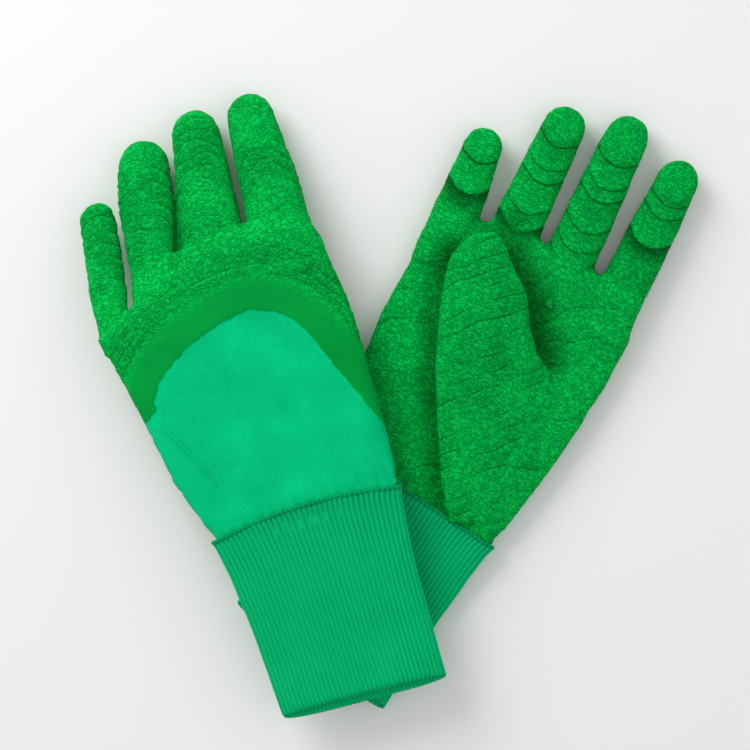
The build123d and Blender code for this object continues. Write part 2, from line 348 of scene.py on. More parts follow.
def noise_node(tree, at, scale, detail, **more):
    return node(tree, "ShaderNodeTexNoise", Vector=at, Scale=scale, Detail=detail, **more).outputs[0]


def attribute(tree, name, output="Fac"):
    return node(tree, "ShaderNodeAttribute", {"attribute_name": name}).outputs[output]


def place_group(tree, name, **inputs):
    return node(tree, "ShaderNodeGroup", {"node_tree": bpy.data.node_groups[name]}, **inputs)


def crackle_group():
    """The crinkled finish of the latex: winding wrinkles at two sizes, with fine grain between."""
    group, start, end = new_group(
        "Latex Crackle",
        [("Vector", "NodeSocketVector", None), ("Scale", "NodeSocketFloat", 300.0)],
        [("Height", "NodeSocketFloat"), ("Crease", "NodeSocketFloat")],
    )
    at, scale = start.outputs[:2]
    heights = []
    for times in (1.0, 2.3):
        field = noise_node(group, at, maths(group, "MULTIPLY", scale, times), 2.0, Distortion=0.6)
        away = maths(group, "ABSOLUTE", maths(group, "SUBTRACT", field, 0.5))
        heights.append(ramp(group, away, From_Max=0.09))
    fine = noise_node(group, at, 1500.0, 3.0)
    height = maths(group, "MULTIPLY", heights[0], 0.55)
    for part, share in ((heights[1], 0.3), (fine, 0.25)):
        height = maths(group, "MULTIPLY_ADD", part, share, height)
    group.links.new(height, end.inputs[0])
    group.links.new(maths(group, "SUBTRACT", 1.0, heights[0]), end.inputs[1])


def mottle_group():
    """Soft uneven colour, larger than the weave or the crackle."""
    group, start, end = new_group(
        "Uneven Colour",
        [
            ("Vector", "NodeSocketVector", None),
            ("Scale", "NodeSocketFloat", 40.0),
            ("Amount", "NodeSocketFloat", 0.2),
        ],
        [("Shade", "NodeSocketFloat")],
    )
    at, scale, amount = start.outputs[:3]
    cloud = noise_node(group, at, scale, 5.0)
    swing = maths(group, "MULTIPLY", maths(group, "SUBTRACT", cloud, 0.5), 2.0)
    group.links.new(maths(group, "MULTIPLY_ADD", swing, amount, 1.0), end.inputs[0])


def stitch_group():
    """Rows of small knit stitches, from a map whose U counts ribs and V counts rows."""
    group, start, end = new_group(
        "Knit Stitches",
        [("Vector", "NodeSocketVector", None)],
        [("Height", "NodeSocketFloat")],
    )
    at = start.outputs[0]
    parts = node(group, "ShaderNodeSeparateXYZ", Vector=at)
    share = maths(group, "FRACT", parts.outputs[0])
    lean = maths(group, "ABSOLUTE", maths(group, "SUBTRACT", share, 0.5))
    row = maths(group, "MULTIPLY_ADD", lean, 1.1, parts.outputs[1])
    wave = maths(group, "ABSOLUTE", maths(group, "SINE", maths(group, "MULTIPLY", row, math.pi)))
    fuzz = noise_node(group, at, 3.0, 4.0)
    group.links.new(maths(group, "MULTIPLY_ADD", fuzz, 0.7, wave), end.inputs[0])


def new_material(name, roughness, specular):
    material = bpy.data.materials.new(name)
    material.use_nodes = True
    tree = material.node_tree
    bsdf = tree.nodes["Principled BSDF"]
    bsdf.inputs["Roughness"].default_value = roughness
    bsdf.inputs["Specular IOR Level"].default_value = specular
    return material, tree, bsdf, tree.nodes.new("ShaderNodeTexCoord").outputs["Object"]


def tint(tree, low, high, factor):
    ends = {"i6": (*low, 1), "i7": (*high, 1)}
    return node(tree, "ShaderNodeMix", {"data_type": "RGBA"}, i0=factor, **ends).outputs[2]


def shade(tree, picture, value):
    """Multiplies a colour by a value."""
    settings = {"operation": "SCALE"}
    return node(tree, "ShaderNodeVectorMath", settings, i0=picture, Scale=value).outputs[0]


def bump(tree, bsdf, height, distance, strength=1.0):
    made = node(tree, "ShaderNodeBump", Height=height, Distance=distance, Strength=strength)
    tree.links.new(made.outputs[0], bsdf.inputs["Normal"])


def arc_lines(tree):
    """The ridge before each thin fold of the latex, and the painted shade in the crease just past it."""
    share = maths(tree, "FRACT", attribute(tree, "arc"))
    amount = attribute(tree, "arc_amount")
    past = ramp(tree, share, From_Max=0.11, To_Min=1.0, To_Max=0.0)
    ridge = maths(tree, "MULTIPLY", maths(tree, "POWER", share, 5.0), amount)
    return ridge, maths(tree, "MULTIPLY", past, amount)


def latex_look(tree, at):
    """The latex's colour, roughness and height, from its folds and its crackled grain."""
    c = colours()
    grain = attribute(tree, "grain", "Vector")
    crackle = place_group(tree, "Latex Crackle", Vector=grain, Scale=LATEX_GRAIN)
    calm = attribute(tree, "calm")
    rugged = less_share(tree, calm, SMOOTH_LOSS)
    worn = place_group(tree, "Uneven Colour", Vector=at, Scale=32.0, Amount=0.24)
    # Painted shade: the base colour is darkened towards the latex crease colour where fold is low.
    light = ramp(tree, attribute(tree, "fold"), From_Min=-0.95, From_Max=0.1)
    base = tint(tree, c.latex_crease_shade, c.latex, light)
    crease = maths(tree, "MULTIPLY", crackle.outputs["Crease"], rugged)
    ridge, past = arc_lines(tree)
    # The coat is darker with painted shade in its crackle creases and just past each fold, and it is
    # thinner and darker where it is smooth.
    tone = worn.outputs[0]
    for value, share in ((crease, CREASE_SHADE), (past, ARC_SHADE), (calm, SMOOTH_DARK)):
        tone = maths(tree, "MULTIPLY", tone, less_share(tree, value, share))
    rough = maths(tree, "MULTIPLY_ADD", crackle.outputs["Crease"], 0.25, 0.5)
    height = maths(tree, "MULTIPLY", crackle.outputs["Height"], rugged)
    return shade(tree, base, tone), rough, maths(tree, "MULTIPLY_ADD", ridge, ARC_RISE, height)


def cotton_look(tree, at):
    """The bare cotton's colour and height."""
    c = colours()
    worn = place_group(tree, "Uneven Colour", Vector=at, Scale=48.0, Amount=0.32)
    weave = noise_node(tree, at, 2200.0, 3.0)
    cloud = noise_node(tree, at, 420.0, 3.0)
    base = tint(tree, [v * 0.72 for v in c.cotton], [v * 1.08 for v in c.cotton], weave)
    return shade(tree, base, worn.outputs[0]), maths(tree, "MULTIPLY_ADD", cloud, 0.8, weave)


def latex_material():
    _, tree, bsdf, at = new_material(LOOKS["latex"], 0.5, 0.03)
    picture, rough, height = latex_look(tree, at)
    tree.links.new(picture, bsdf.inputs["Base Color"])
    tree.links.new(rough, bsdf.inputs["Roughness"])
    bump(tree, bsdf, height, LATEX_BUMP)


def cotton_material():
    """Bare cotton, with the last millimetre of the latex round its edge."""
    _, tree, bsdf, at = new_material(LOOKS["cotton"], 0.9, 0.02)
    latex, _, latex_height = latex_look(tree, at)
    cotton, cotton_height = cotton_look(tree, at)
    ragged = maths(tree, "SUBTRACT", noise_node(tree, at, 260.0, 4.0), 0.5)
    edge = maths(tree, "MULTIPLY_ADD", ragged, 2.6, attribute(tree, "dip"))
    mask = ramp(tree, edge, From_Min=-0.18, From_Max=0.18)
    mix = node(tree, "ShaderNodeMix", {"data_type": "RGBA"}, i0=mask, i6=cotton, i7=latex)
    tree.links.new(mix.outputs[2], bsdf.inputs["Base Color"])
    low = maths(tree, "MULTIPLY", cotton_height, 0.5)
    high = maths(tree, "ADD", latex_height, 0.6)
    height = node(tree, "ShaderNodeMix", {"data_type": "FLOAT"}, i0=mask, i2=low, i3=high)
    bump(tree, bsdf, height.outputs[0], COTTON_BUMP)


def knit_material(key, groove_shade):
    """Knitted thread with painted shade: darker by a share down in its ribs."""
    c = getattr(colours(), key)
    _, tree, bsdf, at = new_material(LOOKS[key], 0.9, 0.02)
    knit_map = tree.nodes["Texture Coordinate"].outputs["UV"]
    stitch = place_group(tree, "Knit Stitches", Vector=knit_map).outputs[0]
    worn = place_group(tree, "Uneven Colour", Vector=at, Scale=60.0, Amount=0.08).outputs[0]
    light = node(tree, "ShaderNodeMapRange", Value=attribute(tree, "fold"), From_Min=-1.0)
    base = tint(tree, [v * groove_shade for v in c], c, light.outputs[0])
    tone = maths(tree, "MULTIPLY", maths(tree, "MULTIPLY_ADD", stitch, 0.09, 0.92), worn)
    tree.links.new(shade(tree, base, tone), bsdf.inputs["Base Color"])
    bump(tree, bsdf, stitch, KNIT_BUMP, 0.8)


def make_materials():
    crackle_group()
    mottle_group()
    stitch_group()
    latex_material()
    cotton_material()
    # The second number scales the colour down between ribs and knots, where shade is painted.
    knit_material("rib", 0.62)
    knit_material("thread", 0.6)


# Mesh helpers ---------------------------------------------------------------------------


def smoothstep(low, high, value):
    t = np.clip((value - low) / (high - low), 0, 1)
    return t * t * (3 - 2 * t)


def along(points, value):
    """Reads a list of (position, value) pairs at a position."""
    return np.interp(value, [p[0] for p in points], [p[1] for p in points])


def ring_loft(bm, rings, segments, closed_ends=True):
    """A tube through rings of points: one circle, extruded and moved on to each ring in turn."""
    made = bmesh.ops.create_circle(bm, segments=segments, radius=1.0, cap_ends=False)
    loop = made["verts"]
    edges = list({e for v in loop for e in v.link_edges})
    for i, ring in enumerate(rings):
        if i:
            made = bmesh.ops.extrude_edge_only(bm, edges=edges)["geom"]
            fresh = {g for g in made if isinstance(g, bmesh.types.BMVert)}
            old = set(loop)
            partner = {}
            for v in fresh:
                partner[next(e.other_vert(v) for e in v.link_edges if e.other_vert(v) in old)] = v
            loop = [partner[v] for v in loop]
            edges = [g for g in made if isinstance(g, bmesh.types.BMEdge) and fresh.issuperset(g.verts)]
        elif closed_ends:
            bmesh.ops.contextual_create(bm, geom=loop)
        for v, spot in zip(loop, ring):
            v.co = spot
    if closed_ends:
        bmesh.ops.contextual_create(bm, geom=loop)


def oval(centre, across, half_width, half_thickness, segments=FINGER_SEGMENTS, power=2.3):
    """Points of a flattened oval, whose long way lies along across."""
    points = []
    for i in range(segments):
        a = 2 * math.pi * i / segments
        x = math.copysign(abs(math.cos(a)) ** (2 / power), math.cos(a)) * half_width
        z = math.copysign(abs(math.sin(a)) ** (2 / power), math.sin(a)) * half_thickness
        points.append(centre + across * x + Vector((0, 0, z)))
    return points


def even_oval(centre, half_width, half_thickness, segments, power=2.6):
    """A flattened oval whose points are evenly spaced round it, so that ribs on it have one width."""
    a = np.linspace(0, 2 * math.pi, 1441)
    x = np.sign(np.cos(a)) * np.abs(np.cos(a)) ** (2 / power) * half_width
    z = np.sign(np.sin(a)) * np.abs(np.sin(a)) ** (2 / power) * half_thickness
    run = np.concatenate([[0], np.cumsum(np.hypot(np.diff(x), np.diff(z)))])
    stops = np.linspace(0, run[-1], segments, endpoint=False)
    spots = zip(np.interp(stops, run, x), np.interp(stops, run, z))
    return [centre + Vector((spot_x, 0, spot_z)) for spot_x, spot_z in spots]


def finger_rings(root, tip, halves):
    """Rings along a finger: a taper through its half widths, then a dome."""
    root, tip = Vector(root), Vector(tip)
    run = tip - root
    flat = Vector((run.x, run.y, 0)).normalized()
    across = Vector((flat.y, -flat.x, 0))
    full = run.length
    dome = halves[3] * 1.15
    stops = [(0.0, halves[0]), (26.0, halves[1]), (0.62 * full, halves[2]), (full - dome, halves[3])]
    rings = []
    for t in np.linspace(0, full - dome, 14):
        w = along(stops, t)
        rings.append(oval(root + run * (t / full), across, w, 0.56 * w + 0.6))
    for a in np.linspace(0, 0.48 * math.pi, 8)[1:]:
        w = halves[3] * math.cos(a) ** 0.9
        t = full - dome + dome * math.sin(a)
        rings.append(oval(root + run * (t / full), across, w, 0.58 * w + 0.3))
    return rings


def hand_rings(stations, middle):
    rings = []
    for y, left, right, half in stations:
        centre = Vector(((left + right) / 2, y, float(along(middle, y))))
        across = Vector((1, WRIST_LEAN if y < WRIST_END else 0, 0))
        rings.append(oval(centre, across, (right - left) / 2, half, HAND_SEGMENTS, 2.6))
    return rings


def thumb_rings(middle, palm):
    rings = []
    for x, y, width, left_height, right_height, half in THUMB:
        across = THUMB_ACROSS + Vector((0, 0, palm * (right_height - left_height) / width))
        centre = Vector((x, y, 0)) + THUMB_ACROSS * (width / 2)
        centre.z = float(along(middle, centre.y)) + palm * (left_height + right_height) / 2
        rings.append(oval(centre, across, width / 2, half, THUMB_OVAL, 2.4))
    return rings


def mesh_object(name, bm):
    mesh = bpy.data.meshes.new(name)
    bm.to_mesh(mesh)
    bm.free()
    made = bpy.data.objects.new(name, mesh)
    bpy.context.scene.collection.objects.link(made)
    return made


def remesh(obj, voxel):
    """Joins overlapping closed forms into one even skin."""
    modifier = obj.modifiers.new("skin", "REMESH")
    modifier.mode = "VOXEL"
    modifier.voxel_size = voxel
    depsgraph = bpy.context.evaluated_depsgraph_get()
    fresh = bpy.data.meshes.new_from_object(obj.evaluated_get(depsgraph))
    obj.modifiers.clear()
    obj.data = fresh


def fetch(items, key, width=3, kind=float):
    values = np.empty(len(items) * width, kind)
    items.foreach_get(key, values)
    return values.reshape(-1, width) if width > 1 else values


def read(mesh):
    return fetch(mesh.vertices, "co"), fetch(mesh.vertex_normals, "vector")


def write(mesh, co):
    mesh.vertices.foreach_set("co", co.ravel())
    mesh.update()


def noise_at(points, scale, seed=0.0, octaves=1):
    """Smooth noise from -1 to 1 at each point, where scale is the size of one bump in the points' unit."""
    shift = Vector((seed * 17.3, seed * 5.1, seed * 9.7))
    if octaves == 1:
        return np.array([noise.noise(Vector(p) / scale + shift) for p in points])
    return np.array([noise.fractal(Vector(p) / scale + shift, 0.8, 2.1, octaves) for p in points])


def creases(phase):
    """A row of rounded ridges with narrow creases between them, from -1 in a crease to about 0.4."""
    wave = np.abs(np.sin(math.pi * phase))
    return np.sqrt(wave) * 1.4 - 1.0


def store(mesh, name, values, kind="FLOAT"):
    made = mesh.attributes.new(name, kind, "POINT")
    key = "value" if kind == "FLOAT" else "vector"
    made.data.foreach_set(key, np.asarray(values, dtype=np.float32).ravel())


def relax(bm, verts, rounds):
    for _ in range(rounds):
        bmesh.ops.smooth_vert(
            bm, verts=verts, factor=0.5, use_axis_x=True, use_axis_y=True, use_axis_z=True
        )


def set_down(place, piece):
    """Shades a piece smooth and moves it from its glove's own frame into the scene."""
    for polygon in piece.data.polygons:
        polygon.use_smooth = True
    piece.data.transform(place.matrix)


# The skin of a glove: latex and bare cotton ----------------------------------------------


def rounded(points, rounds=3):
    """A chain of points with its corners cut again and again, so that it runs smoothly."""
    line = np.array(points, float)
    for _ in range(rounds):
        near, far = line[:-1] * 0.75 + line[1:] * 0.25, line[:-1] * 0.25 + line[1:] * 0.75
        line = np.vstack([line[:1], np.stack([near, far], 1).reshape(-1, 2), line[-1:]])
    return line


def line_distance(points, line):
    """How far each point lies from a chain of straight runs, seen from above."""
    best = np.full(len(points), 1e9)
    for a, b in zip(line[:-1], line[1:]):
        run = b - a
        t = np.clip(((points[:, :2] - a) @ run) / (run @ run), 0, 1)
        best = np.minimum(best, np.hypot(*(points[:, :2] - a - t[:, None] * run).T))
    return best


def patch_distance(points):
    """Signed distance to the latex's edge on the back: below zero on the bare cotton."""
    line = rounded(PATCH)
    far = line_distance(points, line)
    top = np.interp(points[:, 0], line[:, 0], line[:, 1])
    return np.where(points[:, 1] < top, -far, far)


def thumb_edge():
    """The thumb's far edge, from its tip down to the wrist."""
    rows = np.array(THUMB)
    return rows[:, :2] + rows[:, 2:3] * np.array(THUMB_ACROSS[:2])


def sink_beside_thumb(points, normals, middle):
    """How far the palm sinks on each side of the thumb folded over it."""
    rows = np.array(THUMB)
    near, far = rows[:, :2], thumb_edge()
    palm = (normals[:, 2] > 0.2) & (points[:, 2] - middle < 7.2)
    far_gap = line_distance(points, far[1:THUMB_CROTCH])
    near_gap = line_distance(points, near[2:12])
    beyond = SINK_FAR * (1 - smoothstep(0, SINK_FAR_REACH, far_gap))
    before = SINK_NEAR * (1 - smoothstep(0, SINK_NEAR_REACH, near_gap))
    return np.where(palm, np.maximum(beyond, before), 0.0)


def finger_coordinates(points, root, tip):
    """How far along a finger's axis and how far across it each point lies."""
    axis = np.array(tip[:2]) - np.array(root[:2])
    axis = axis / np.hypot(*axis)
    rel = points[:, :2] - np.array(root[:2])
    return rel @ axis, rel @ np.array([axis[1], -axis[0]])


def owner(points, shape):
    """Which finger each point lies on, and its place along and across it. -1 is the palm."""
    who = np.full(len(points), -1)
    best = np.full(len(points), 1e9)
    t_all = np.zeros(len(points))
    u_all = np.zeros(len(points))
    for i, (root, tip, _) in enumerate(shape["fingers"].values()):
        t, u = finger_coordinates(points, root, tip)
        near = (np.abs(u) < best) & (t > 12)
        best[near] = np.abs(u[near])
        who[near] = i
        t_all[near] = t[near]
        u_all[near] = u[near]
    return who, t_all, u_all


def scale_profile(phase):
    """Overlapping scales, from 0 to 1: each rises slowly to its edge and drops quickly past it."""
    share = phase % 1.0
    return share**2 * (1 - smoothstep(0.88, 1.0, share))


def left_relief(p, shape, up):
    """Relief on the glove that shows its back: arcs on the fingers and knuckles.

    Returns the relief and the painted shade in its folds, then the arcs' phase and how strongly they show.
    """
    who, t, u = owner(p, shape)
    on_finger = smoothstep(WEB - 8, WEB + 4, t) * (who >= 0)
    wobble = noise_at(p, 9.0, 1)
    shown = 0.25 + 0.75 * smoothstep(-0.25, 0.3, noise_at(p, 13.0, 3))
    finger_phase = (t + 0.05 * u * u + 2.0 * wobble + 2.0 * noise_at(p, 22.0, 6)) / FINGER_ARC
    distance = patch_distance(p)
    knuckle = smoothstep(14, 17, distance) * (1 - smoothstep(25, 32, distance)) * (1 - on_finger)
    knuckle_shown = 0.75 + 0.25 * smoothstep(-0.2, 0.3, noise_at(p, 20.0, 4))
    knuckle_phase = (distance + 1.4 * wobble) / KNUCKLE_ARC
    fingers = on_finger > 0.5
    phase = np.where(fingers, finger_phase, knuckle_phase)
    knuckle_amount = (1 - 2 * on_finger) * knuckle * knuckle_shown
    amount = np.where(fingers, (2 * on_finger - 1) * shown, knuckle_amount) * up
    ridges = scale_profile(phase) * amount
    relief = 0.6 * ridges + 0.12 * on_finger * noise_at(p, 3.2, 2) + 0.3 * noise_at(p, 16.0, 5, 2)
    relief += (1 - up) * 0.4 * creases((p[:, 1] * 0.8 + p[:, 0] * 0.3 + 3 * wobble) / 8.0)
    # The second value is painted shade, darkest in the crease just past each arc.
    return relief, -0.35 * amount * (1 - scale_profile(phase)), phase, amount


def right_relief(p, normals, shape, up):
    """Relief on the glove that shows its palm: scales on the fingers, creases on the thumb and palm.

    Returns the relief and the painted shade in its folds and beside the thumb, then the creases' phase and
    how strongly they show.
    """
    who, t, u = owner(p, shape)
    on_finger = smoothstep(14, 30, t) * (who >= 0)
    wobble = noise_at(p, 10.0, 11)
    shown = 0.25 + 0.75 * smoothstep(-0.3, 0.25, noise_at(p, 14.0, 16))
    finger_phase = np.zeros(len(p))
    for i, (name, (root, tip, _)) in enumerate(shape["fingers"].items()):
        edges = SCALE_EDGES[name]
        full = (Vector(tip) - Vector(root)).length
        from_tip = full - t + 0.06 * u * u + wobble
        counts = [0.3, *range(1, len(edges) + 1), len(edges) + 0.6]
        own = who == i
        finger_phase[own] = np.interp(from_tip, [-30, *edges, edges[-1] + 60], counts)[own]
    on_thumb = smoothstep(7.2, 9.5, p[:, 2] - along(shape["middle"], p[:, 1])) * (1 - on_finger)
    wander = 1.4 * wobble + 2.5 * noise_at(p, 30.0, 15)
    thumb_phase = (p[:, 1] * 0.656 - p[:, 0] * 0.755 + wander) / THUMB_FOLD
    palm_phase = (p[:, 1] * 0.6 - p[:, 0] * 0.4 + 2.2 * wander) / PALM_FOLD
    fingers, thumb = on_finger > 0.5, on_thumb > 0.5
    phase = np.where(fingers, finger_phase, np.where(thumb, thumb_phase, palm_phase))
    thumb_amount = np.where(thumb, 2 * on_thumb - 1, (1 - 2 * on_thumb) * 0.5)
    flat = (1 - 2 * on_finger) * thumb_amount * shown
    amount = np.where(fingers, 2 * on_finger - 1, flat)
    pleats = creases((u + 0.35 * wobble) / PLEAT) * on_finger * scale_profile(finger_phase)
    facing = smoothstep(0.1, 0.75, np.abs(normals[:, 2]))
    relief = np.where(fingers, 0.55, 0.5) * scale_profile(phase) * amount * facing
    relief += 0.14 * pleats * facing
    relief += 0.14 * noise_at(p, 2.8, 12) + 0.35 * noise_at(p, 15.0, 18, 2)
    sunk = sink_beside_thumb(p, normals, along(shape["middle"], p[:, 1]))
    # fold is painted shade, darker just past each crease and in the palm sunk beside the thumb.
    fold = -0.3 * amount * (1 - scale_profile(phase)) - 0.17 * sunk
    return relief - sunk / (sizes().crease_depth / MM), fold, phase, amount


def make_skin(place):
    """One continuous skin in the glove's own frame, with its relief. Returns the object and its masks."""
    shape = HANDS[place.side]
    bm = bmesh.new()
    ring_loft(bm, hand_rings(shape["stations"], shape["middle"]), HAND_SEGMENTS)
    for root, tip, halves in shape["fingers"].values():
        ring_loft(bm, finger_rings(root, tip, halves), FINGER_SEGMENTS)
    ring_loft(bm, thumb_rings(shape["middle"], place.palm), THUMB_SEGMENTS)
    bmesh.ops.recalc_face_normals(bm, faces=bm.faces)
    skin = mesh_object(f"{place.side}_skin", bm)
    voxel = sizes().voxel / MM * 1.0
    remesh(skin, voxel)
    bm = bmesh.new()
    bm.from_mesh(skin.data)
    relax(bm, bm.verts, 6)
    melt = line_distance(np.array([v.co for v in bm.verts]), thumb_edge()[THUMB_CROTCH:]) < MELT_REACH
    relax(bm, [v for v, near in zip(bm.verts, melt) if near], 40)
    bm.to_mesh(skin.data)
    bm.free()
    p, normals = read(skin.data)
    up = smoothstep(-0.25, 0.25, normals[:, 2])
    if place.palm < 0:
        relief, fold, phase, amount = left_relief(p, shape, up)
    else:
        relief, fold, phase, amount = right_relief(p, normals, shape, up)
    distance = patch_distance(p)
    back = up if place.palm < 0 else 1 - up
    bare = back * (1 - smoothstep(-0.5, 0.5, distance))
    depth = sizes().crease_depth / MM
    covered = 1 - bare * 0.75
    smooth_rim = 1 - 0.75 * back * (1 - smoothstep(8, 14, np.abs(distance)))
    rise = sizes().coat_rise / MM
    gathers = 0.35 * np.sin(p[:, 0] * 1.1 + 2 * noise_at(p, 9.0, 21)) * (1 - smoothstep(2, 16, p[:, 1]))
    calm = back * (1 - smoothstep(9, 17, distance))
    crackle = sizes().crackle_depth / MM * 0.6 * noise_at(p, 1.5, 22) * (1 - calm)
    step = relief * depth * covered * smooth_rim + crackle + gathers - bare * rise
    write(skin.data, p + normals * step[:, None])
    # fold holds painted shade; where it is low the latex is darkened towards its crease colour.
    store(skin.data, "fold", np.clip(fold, -1, 1) * (1 - bare) * smooth_rim)
    store(skin.data, "dip", np.where(back > 0.5, distance, 20.0))
    store(skin.data, "grain", p * (0.6, 1.0, 0.9) * MM, "FLOAT_VECTOR")
    store(skin.data, "calm", calm)
    store(skin.data, "arc", phase)
    store(skin.data, "arc_amount", np.clip(amount, 0, 1) * (1 - bare) * smooth_rim)
    return skin


def split_masks(place, centres, shape):
    """For each digit, the faces that belong to its own piece."""

    def past_hinge(digit):
        spot, way = place.hinge(digit)
        return (centres[:, 0] - spot.x) * way.x + (centres[:, 1] - spot.y) * way.y > -DIGIT_CUT

    over = (centres[:, 2] - along(shape["middle"], centres[:, 1])) * place.palm
    masks = {"thumb": (over > THUMB_RISE) & past_hinge("thumb")}
    for name, (root, tip, halves) in shape["fingers"].items():
        _, across = finger_coordinates(centres, root, tip)
        masks[name] = past_hinge(name) & (np.abs(across) < max(halves) + 1.5)
    return masks


def cut_piece(skin, faces, name, place, cap_depth=1.0):
    """A closed piece of the largest patch of some of the skin's faces, with the whole skin's normals.

    Returns the piece and the skin's faces that it took.
    """
    source = skin.data
    co, normals = read(source)
    bm = bmesh.new()
    bm.from_mesh(source)
    index = bm.verts.layers.int.new("source")
    for v in bm.verts:
        v[index] = v.index + 1
    place_in_skin = bm.faces.layers.int.new("face")
    for f in bm.faces:
        f[place_in_skin] = f.index
    bm.faces.ensure_lookup_table()
    drop = [bm.faces[i] for i in np.flatnonzero(~faces)]
    bmesh.ops.delete(bm, geom=drop, context="FACES")
    islands = []
    seen = set()
    for start in bm.faces:
        if start in seen:
            continue
        group, queue = [], [start]
        seen.add(start)
        while queue:
            face = queue.pop()
            group.append(face)
            for edge in face.edges:
                for other in edge.link_faces:
                    if other not in seen:
                        seen.add(other)
                        queue.append(other)
        islands.append(group)
    islands.sort(key=len)
    kept = np.array([f[place_in_skin] for f in islands[-1]])
    for group in islands[:-1]:
        bmesh.ops.delete(bm, geom=group, context="FACES")
    rim = [e for e in bm.edges if e.is_boundary]
    made = bmesh.ops.extrude_edge_only(bm, edges=rim)["geom"]
    inner = [g for g in made if isinstance(g, bmesh.types.BMVert)]
    for v in inner:
        v.co -= Vector(normals[v[index] - 1]) * cap_depth
        v[index] = 0
    edges = [g for g in made if isinstance(g, bmesh.types.BMEdge)]
    loop = [e for e in edges if all(v[index] == 0 for v in e.verts)]
    bmesh.ops.holes_fill(bm, edges=loop, sides=0)
    bmesh.ops.triangulate(bm, faces=[f for f in bm.faces if len(f.verts) > 4])
    bmesh.ops.transform(bm, matrix=place.matrix, verts=bm.verts)
    origin = np.array([v[index] for v in bm.verts])
    spin = np.array(place.spin.to_3x3())
    for f in bm.faces:
        f.smooth = True
    piece = mesh_object(name, bm)
    mesh = piece.data
    origin = origin[fetch(mesh.loops, "vertex_index", 1, int)]
    starts = fetch(mesh.polygons, "loop_start", 1, int)
    totals = fetch(mesh.polygons, "loop_total", 1, int)
    capped = np.repeat(np.logical_or.reduceat(origin == 0, starts), totals)
    own = np.repeat(fetch(mesh.polygons, "normal"), totals, axis=0)
    whole = normals[np.maximum(origin - 1, 0)] @ spin.T
    mesh.normals_split_custom_set(np.where(capped[:, None], own, whole).tolist())
    return piece, kept


def dress(piece, key):
    piece.data.materials.clear()
    piece.data.materials.append(bpy.data.materials[LOOKS[key]])


def make_hand(place):
    """Splits a glove's skin into the hand's coat, the bare cotton back and the five digits."""
    side = place.side
    shape = HANDS[side]
    skin = make_skin(place)
    centres = fetch(skin.data.polygons, "center")
    facing = fetch(skin.data.polygons, "normal")[:, 2] * -place.palm
    taken = np.zeros(len(centres), bool)
    for digit, mask in split_masks(place, centres, shape).items():
        piece, kept = cut_piece(skin, mask & ~taken, f"{side}_{digit}_skin", place)
        taken[kept] = True
        dress(piece, "latex")
        spot, way = place.hinge(digit)
        start = place.out(*(spot - way * BEND_REACH))
        end = place.out(*(spot + way * BEND_REACH))
        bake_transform(piece)
        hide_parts(f"{side}_{digit}_coat", f"{side}_{digit}_liner")
    bare = (patch_distance(centres) < 1.8) & (facing > 0.0) & ~taken
    cotton, kept = cut_piece(skin, bare, f"{side}_cotton_back", place, 0.8)
    taken[kept] = True
    coat, _ = cut_piece(skin, ~taken, f"{side}_hand_skin", place)
    dress(coat, "latex")
    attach(coat, f"{side}_hand")
    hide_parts(f"{side}_palm_coat", f"{side}_knuckle_coat", f"{side}_palm_panel")
    dress(cotton, "cotton")
    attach(cotton, f"{side}_hand")
    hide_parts(f"{side}_back_panel")
    bpy.data.objects.remove(skin)


# Cuffs ----------------------------------------------------------------------------------

CUFFS = {
    # (distance down the cuff, middle x, half width, middle z, half thickness)
    "left": [
        (-6.0, 0.0, 42.6, 27.4, 7.2),
        (0.0, -0.3, 41.8, 27.2, 6.6),
        (5.0, -0.8, 40.6, 26.9, 5.4),
        (16.0, -1.6, 39.2, 26.0, 4.6),
        (38.0, -3.6, 37.4, 24.0, 4.4),
        (60.0, -5.6, 36.4, 22.2, 4.6),
        (78.0, -7.4, 35.8, 21.4, 5.2),
    ],
    "right": [
        (-6.0, 0.0, 41.6, 7.6, 6.4),
        (0.0, -0.3, 40.8, 7.4, 6.0),
        (5.0, -0.7, 39.8, 7.2, 5.2),
        (16.0, -1.6, 39.0, 6.6, 4.6),
        (38.0, -3.4, 38.0, 6.0, 4.4),
        (60.0, -5.3, 37.6, 5.8, 4.5),
        (79.0, -7.6, 39.2, 5.9, 4.8),
    ],
}
CUFF_ROWS = 46
SEAM_LEAN = -0.1  # the wrist seam drops this much per millimetre towards the index finger's side
MOUTH_LEAN = -0.14
SEAM_BOW = {"left": 4.5, "right": 0.0}  # how far the seam arches up in the middle of the upper layer
LOWER_LIP = 6.0  # how far the lower layer's open end stands out past the upper one
KNIT_ROW = 0.9  # height of a row of stitches
CUFF_BEND_REACH = 9.0


def cuff_ring(place, down, inset, segments):
    """One ring of a cuff's tube, leaning with the wrist seam at the top and with the hem at the end."""
    data = np.array(CUFFS[place.side])
    cx, hw, cz, ht = (np.interp(down, data[:, 0], data[:, i]) for i in (1, 2, 3, 4))
    share = max(down, 0) / data[-1, 0]
    lean = SEAM_LEAN * (1 - share) + MOUTH_LEAN * share
    points = even_oval(Vector((cx, -down, cz)), hw - inset, ht - inset, segments)
    for point in points:
        point.y += lean * (point.x - cx)
        under = 0.5 - 0.5 * max(-1.0, min(1.0, (point.z - cz) / ht))
        bow = max(0.0, 1 - ((point.x - cx) / hw) ** 2)
        point.y += SEAM_BOW[place.side] * bow * (1 - under) * (1 - min(share * 2.5, 1.0))
        point.y -= LOWER_LIP * share**4 * under
    return points


